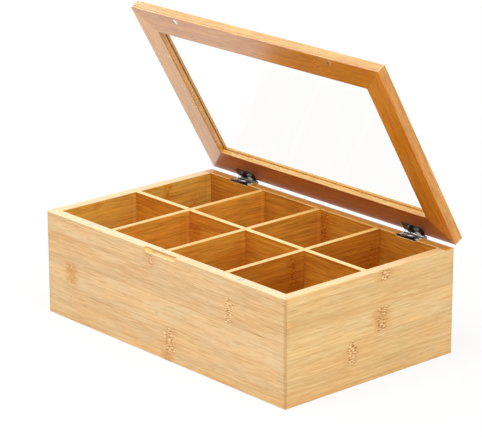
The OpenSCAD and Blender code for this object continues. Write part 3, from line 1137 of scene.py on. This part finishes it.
@dataclass
class Magnets:
    """The four disc magnets of the catch."""

    pose: LidPose
    radius_mm: float = 3.0
    thickness_mm: float = 2.0
    ease_mm: float = 0.35
    dish_mm: float = 0.05
    hub_mm: float = 0.02
    steps: int = 64

    def build(self) -> None:
        """Makes a disc at each magnet: face up in the rim, and face down on the closed lid."""
        material = self.finish().material()
        for side in Side:
            rim, lid = f"{side.word}_rim_magnet", f"{side.word}_lid_magnet"
            upward = self.disc() + self.foot(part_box(rim))
            downward = self.disc(flip=True) + self.foot(self.pose.closed_box(lid))
            for name, rings, body, node in ((f"{side.word}_rim_disc", upward, "box", rim),
                                            (f"{side.word}_lid_disc", self.pose.swing(downward), "lid", lid)):
                piece = solid_from(name, *capped(rings), sharp_degrees=50)
                settle(piece, material, body, node)

    def finish(self) -> MetalFinish:
        """Nickel plate, with a painted shadow along the inner edge of the lid's discs, as if they sat in a
        recess.
        """
        soiled = Wear(middle("right_lid_magnet"), tint(24, 16, 8), (((-2.6, 0.7, -1.2), (1.1, 1.8, 2.6)),))
        return MetalFinish("nickel magnet", tint(232, 222, 210), tint(240, 232, 222), 0.16, wear=(soiled,))

    @staticmethod
    def foot(box: tuple[Vector, Vector]) -> np.ndarray:
        """Middle of a box's underside."""
        low, high = box
        return np.array(((low.x + high.x) / 2, (low.y + high.y) / 2, low.z))

    def disc(self, flip: bool = False) -> np.ndarray:
        """Disc on z = 0: a turned section with eased edges and a face that dips towards its middle.

        Args:
            flip: Puts the dished face down.

        Returns:
            Grid of points in metres.
        """
        flat, top, ease = self.radius_mm - self.ease_mm, self.thickness_mm, self.ease_mm
        inner = np.linspace(self.hub_mm, flat, 10)
        face = np.stack([inner, top - self.dish_mm * (1 - (inner / flat) ** 2)], -1)
        upper, lower = quarter((flat, top - ease), ease, 90, 0), quarter((flat, ease), ease, 0, -90)
        section = np.concatenate([face, upper[1:], lower, [[self.hub_mm, 0.0]]])
        if flip:
            section[:, 1] = top - section[:, 1]
        return turned(section * MM, self.steps)


@dataclass
class Hinge:
    """One butt hinge: two leaves, the pin and four countersunk screws."""

    side: Side
    pose: LidPose
    plate: bpy.types.Material
    bright: bpy.types.Material
    edge_mm: float = 0.12
    hub_mm: float = 0.02
    length_mm: float = 25.0
    pin_radius_mm: float = 1.0
    head_radius_mm: float = 1.5
    head_mm: float = 0.4
    head_ease_mm: float = 0.15
    dome_mm: float = 0.16
    screw_spacing_mm: float = 14.0
    screw_line_mm: float = 6.5
    leaf_face_mm: float = 0.15
    screw_radius_mm: float = 1.1
    screw_head_mm: float = 2.0
    screw_ease_mm: float = 0.06
    screw_length_mm: float = 7.0
    screw_point_mm: float = 2.0
    recess_half_width_mm: float = 0.26
    recess_half_span_mm: float = 1.2
    recess_depth_mm: float = 0.65
    recess_reach_mm: float = 1.45
    soft_width_mm: float = 0.14
    soft_span_mm: float = 0.2
    pin_steps: int = 64
    screw_steps: int = 96
    # Where the left and the right screw of a leaf stopped turning, and how far the two hinges differ.
    screw_degrees: tuple[float, float] = (20.0, 62.0)
    side_degrees: float = 9.0

    # Places from the hinge's middle and half sizes of the knuckles' painted highlights and of the painted
    # glints on the leaves.
    KNUCKLES = tuple(((x, 0.0, 0.0), (4.6, 2.5, 2.5)) for x in (-8.3, 0.0, 8.3))
    RUBBED = (((-11.2, -0.95, 1.65), (3.0, 1.5, 1.5)), ((4.75, -1.7, 2.95), (3.3, 1.4, 1.4)),
              ((-11.7, -5.75, -0.15), (1.2, 2.3, 1.5)), ((-1.5, -4.75, -0.15), (3.4, 1.6, 1.5)),
              ((9.6, -7.75, -0.15), (1.5, 1.4, 1.5)), ((10.6, -3.9, -0.15), (2.0, 1.4, 1.5)))

    @classmethod
    def wear(cls, pose: LidPose) -> tuple[Wear, ...]:
        """Painted highlights of both hinges: on the knuckles, and painted glints on the leaves beside them.

        Args:
            pose: The lid's pose, for the hinge axis.

        Returns:
            The painted highlights of the knuckles and those of the leaves.
        """
        centre = Vector((middle("right_hinge_pin").x, pose.axis.y, pose.axis.z))
        return (Wear(centre, tint(112, 110, 107), cls.KNUCKLES),
                Wear(centre, (1.0, 1.0, 1.0), cls.RUBBED, metallic=0.05))

    def build(self) -> None:
        """Dresses the leaves and makes the pin and the screws."""
        word = self.side.word
        for leaf in ("body", "lid"):
            node = frame["nodes"][f"{word}_hinge_{leaf}_leaf"]
            dress(node, self.plate)
            soften(node, self.edge_mm)
        axis = np.array((middle(f"{word}_hinge_pin").x, self.pose.axis.y, self.pose.axis.z))
        self.make(f"{word}_hinge_rivet", [self.pin() + axis], "box", f"{word}_hinge_pin")
        down = self.screw_pair() + np.array((0, -self.screw_line_mm, -self.leaf_face_mm)) * MM
        up = down * (1, 1, -1)
        self.make(f"{word}_body_leaf_screws", down + axis, "box", f"{word}_hinge_body_screws")
        self.make(f"{word}_lid_leaf_screws", self.pose.swing(up + axis), "lid",
                  f"{word}_hinge_lid_screws")

    def pin(self) -> np.ndarray:
        """Pin along X: a turned section of a rod between two domed heads, its height laid along X.

        Returns:
            Grid of points in metres.
        """
        half, head, ease = self.length_mm / 2, self.head_radius_mm, self.head_ease_mm
        dome = np.linspace(self.hub_mm, head - ease, 8)
        cap = np.stack([dome, half + self.head_mm - self.dome_mm * (dome / head) ** 2], -1)
        rim = quarter((head - ease, half + ease), ease, 60, -90, 5)
        right = np.concatenate([cap, rim, [[self.pin_radius_mm, half - 0.01]]])
        section = np.concatenate([right, right[::-1] * (1, -1)])
        return turned(section * MM, self.pin_steps)[..., [2, 0, 1]]

    def screw(self) -> np.ndarray:
        """Screw pointing down with its head's top on z = 0: rings of a turned section.

        On the head the height is minus the recess depth times the larger of two smooth bars that cross
        at right angles, each a product of a fall-off across its width and one along its span.

        Returns:
            Grid of points in metres.
        """
        head, shank, ease = self.screw_head_mm, self.screw_radius_mm, self.screw_ease_mm
        radii = np.concatenate([[self.hub_mm], np.linspace(0.08, self.recess_reach_mm, 26),
                                np.linspace(self.recess_reach_mm + 0.1, head - ease, 4)])
        section = np.concatenate([
            np.stack([radii, 0 * radii], -1), quarter((head - ease, -ease), ease, 60, 0, 3),
            [[shank + 0.05, shank - head], [shank, shank - head - 0.1],
             [shank, self.screw_point_mm - self.screw_length_mm], [0.04, -self.screw_length_mm]]])
        grid = turned(section, self.screw_steps)
        x, y = grid[:len(radii), :, 0], grid[:len(radii), :, 1]

        def fall(value: np.ndarray, edge: float, soft: float) -> np.ndarray:
            """Smooth fall from 1 inside the edge to 0 outside it."""
            share = np.clip((edge + soft / 2 - np.abs(value)) / soft, 0, 1)
            return share * share * (3 - 2 * share)

        bars = [fall(along, self.recess_half_span_mm, self.soft_span_mm)
                * fall(across, self.recess_half_width_mm, self.soft_width_mm)
                for along, across in ((x, y), (y, x))]
        grid[:len(radii), :, 2] -= self.recess_depth_mm * np.maximum(*bars)
        return grid * MM

    def screw_pair(self) -> np.ndarray:
        """Both screws of a leaf, each turned by its own angle, half the spacing from the middle.

        Returns:
            The two grids of points in metres.
        """
        grids = []
        for sign, degrees in zip((-1, 1), self.screw_degrees):
            angle = math.radians(degrees + self.side_degrees * self.side.value)
            turn = np.array(((math.cos(angle), -math.sin(angle), 0), (math.sin(angle), math.cos(angle), 0),
                             (0, 0, 1)))
            grids.append(self.screw() @ turn.T + np.array((sign * self.screw_spacing_mm / 2, 0, 0)) * MM)
        return np.array(grids)

    def make(self, name: str, grids: np.ndarray | list[np.ndarray], body: str, node: str) -> None:
        """Makes one object of turned grids and lets it stand for its node.

        Args:
            name: The piece's name.
            grids: Grids of points, each of which becomes a closed surface.
            body: The body that it rides on.
            node: The frame's node that it stands for.
        """
        vertices, faces, start = [], [], 0
        for grid in grids:
            points, rounds = capped(grid)
            vertices.append(points)
            faces += [[start + index for index in face] for face in rounds]
            start += len(points)
        piece = solid_from(name, np.concatenate(vertices), faces, sharp_degrees=40)
        settle(piece, self.bright, body, node)


# ------------------------------------------------------------------ studio


@dataclass(frozen=True)
class Softbox:
    """A soft lamp that faces the box, square unless it has a width of its own."""

    name: str
    place: Triple
    size: float
    power: float
    width: float = 0.0

    AIM = (0.0, 0.0, 0.1)
    COLOUR = (1.0, 0.99, 0.97)

    def hang(self) -> None:
        """Hangs the lamp."""
        lamp = bpy.data.lights.new(self.name, "AREA")
        lamp.shape, lamp.size, lamp.size_y = "RECTANGLE", self.size, self.width or self.size
        lamp.energy, lamp.color = self.power, self.COLOUR
        holder = bpy.data.objects.new(self.name, lamp)
        holder.location = self.place
        holder.rotation_euler = (Vector(self.AIM) - Vector(self.place)).to_track_quat("-Z", "Y").to_euler()
        bpy.context.scene.collection.objects.link(holder)


@dataclass
class Studio:
    """Camera, pale floor, white surroundings and soft lamps."""

    camera_place: Triple = (1.524278, -1.354402, 0.763964)
    camera_aim: Triple = (-0.027709, 0.019006, 0.095689)
    camera_roll_degrees: float = -0.094
    sensor_mm: float = 36.0
    lens_mm: float = 181.05
    floor_reach: float = 9.0
    floor_points: int = 9
    floor_glow: float = 0.8
    surround: float = 0.55
    lamps: tuple[Softbox, ...] = (
        Softbox("overhead softbox", (0.2, -0.6, 1.65), 1.5, 19.0),
        Softbox("front softbox", (-0.6, -2.0, 1.3), 1.2, 4.0),
        Softbox("right softbox", (2.1, -0.2, 1.3), 1.2, 11.0),
        Softbox("strip light", (-1.45, -0.45, 1.35), 1.3, 7.0, 0.08),
        Softbox("rear softbox", (0.7, 2.2, 1.1), 1.2, 5.0))

    def build(self) -> None:
        """Sets up everything that isn't part of the object."""
        self.build_camera()
        self.build_world()
        self.build_floor()
        for lamp in self.lamps:
            lamp.hang()
        bpy.context.scene.view_settings.view_transform = "Standard"
        log.info("studio with %d lamps", len(self.lamps))

    def build_camera(self) -> None:
        """Places the camera at the photograph's viewing angle."""
        data = bpy.data.cameras.new("camera")
        data.sensor_width, data.lens = self.sensor_mm, self.lens_mm
        data.clip_start, data.clip_end = 0.05, 60.0
        camera = bpy.data.objects.new("camera", data)
        place, aim = Vector(self.camera_place), Vector(self.camera_aim)
        look = (aim - place).to_track_quat("-Z", "Y").to_matrix()
        roll = Matrix.Rotation(math.radians(self.camera_roll_degrees), 3, "Z")
        camera.matrix_world = Matrix.Translation(place) @ (look @ roll).to_4x4()
        bpy.context.scene.collection.objects.link(camera)
        bpy.context.scene.camera = camera

    def white_ray(self, wire: Wiring) -> Signal:
        """1 for rays of the camera, of gloss and of clear pieces, which see a white room."""
        path = wire.signals(wire.node("ShaderNodeLightPath"))
        return path["Is Camera Ray"] | path["Is Glossy Ray"] | path["Is Transmission Ray"]

    def build_world(self) -> None:
        """White surroundings, which light the object at a lower, even level."""
        world = bpy.data.worlds.new("white room")
        world.use_nodes = True
        bpy.context.scene.world = world
        wire = Wiring(world.node_tree)
        background = world.node_tree.nodes["Background"]
        wire.feed(background.inputs["Color"], (1, 1, 1))
        wire.feed(background.inputs["Strength"], self.white_ray(wire).ramp(0.0, 1.0, self.surround, 1.0))

    def build_floor(self) -> None:
        """A flat pale floor, lifted towards white for the camera, that keeps the object's shadow."""
        count = self.floor_points
        marks = np.linspace(-self.floor_reach, self.floor_reach, count)
        along, across = np.meshgrid(marks, marks, indexing="ij")
        points = np.stack([along, across, 0 * along], -1).reshape(-1, 3)
        number = np.arange(count * count).reshape(count, count)
        quads = np.stack([number[:-1, :-1], number[1:, :-1], number[1:, 1:], number[:-1, 1:]], -1)
        mesh = bpy.data.meshes.new("floor")
        mesh.from_pydata(points.tolist(), [], quads.reshape(-1, 4).tolist())
        floor = bpy.data.objects.new("floor", mesh)
        bpy.context.scene.collection.objects.link(floor)
        paint = Paint("pale floor")
        wire = paint.wire
        grit = wire.noise(paint.position, 3.0, 0.5, 30.0)
        paint.set(Base_Color=wire.mix(grit, (0.86, 0.86, 0.86), (0.88, 0.88, 0.88)), Roughness=0.9,
                  Specular_IOR_Level=0.2)
        glow = wire.take("ShaderNodeEmission", {"Color": (1, 1, 1), "Strength": 1.0})
        share = self.white_ray(wire) * wire.length(paint.position).ramp(0.15, 0.6, self.floor_glow, 1.0)
        both = wire.take("ShaderNodeMixShader", {0: share, 1: Signal(wire, paint.shader.outputs[0]), 2: glow})
        wire.feed(paint.material.node_tree.nodes["Material Output"].inputs["Surface"], both)
        dress(floor, paint.material)


def main() -> None:
    """Builds the studio and each sub-assembly in order."""
    logging.basicConfig(level=logging.INFO, format="%(name)s: %(message)s")
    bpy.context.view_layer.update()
    Studio().build()
    BambooEffects().build()
    sizes, pose = BoxSizes.from_frame(), LidPose.from_frame()
    Carcass(sizes).build()
    Dividers(sizes).build()
    Lid(sizes, pose).build()
    Magnets(pose).build()
    plate = MetalFinish("dark nickel", tint(92, 89, 82), tint(116, 113, 105), 0.04, scratched=0.06,
                        wear=Hinge.wear(pose)).material()
    bright = MetalFinish("smoked nickel", tint(112, 108, 98), tint(138, 134, 124), 0.08,
                         scratched=0.08).material()
    for side in Side:
        Hinge(side, pose, plate, bright).build()


if __name__ == "__main__":
    main()
